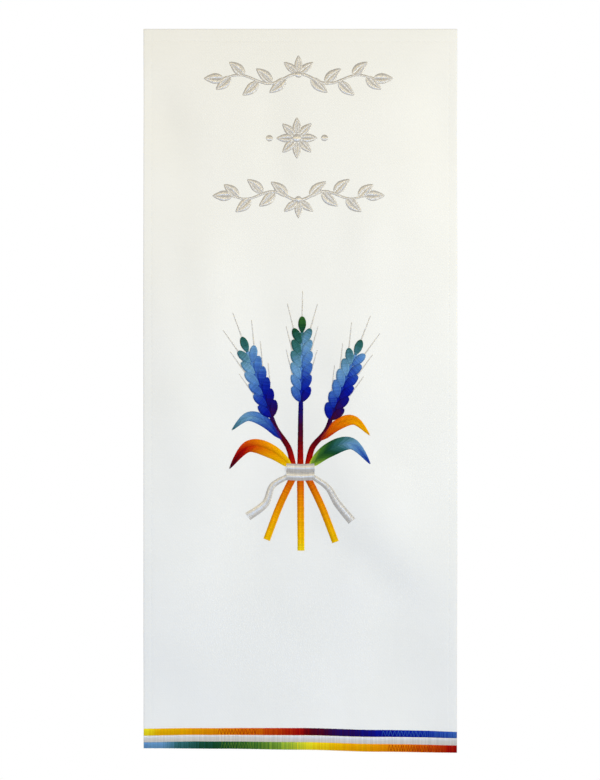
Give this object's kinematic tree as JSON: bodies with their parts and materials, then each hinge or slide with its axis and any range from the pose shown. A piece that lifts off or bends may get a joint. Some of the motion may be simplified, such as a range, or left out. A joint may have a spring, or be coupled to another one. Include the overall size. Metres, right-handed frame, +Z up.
{
  "type": "ambo cloth",
  "caption": "Long white embroidered hanging for the front of a church reading desk, held along its top edge, with turned hems and a striped border at the foot.",
  "frame": {"origin": "middle of the top edge, halfway through the cloth's thickness", "axes": "+Z up along the hanging cloth, +X to the viewer's right along the top edge, -Y out of the embroidered face"},
  "size_m": [0.5003, 0.0264, 1.1535],
  "materials": {
    "white_cloth": "smooth matt white cloth with a soft sheen",
    "rainbow_thread": "satin stitch in a glossy thread dyed in a run of rainbow colours",
    "silver_thread": "satin stitch in a glossy silver-grey thread"
  },
  "bodies": {
    "root": {"cloth_panel": "white_cloth"}
  },
  "joints": []
}
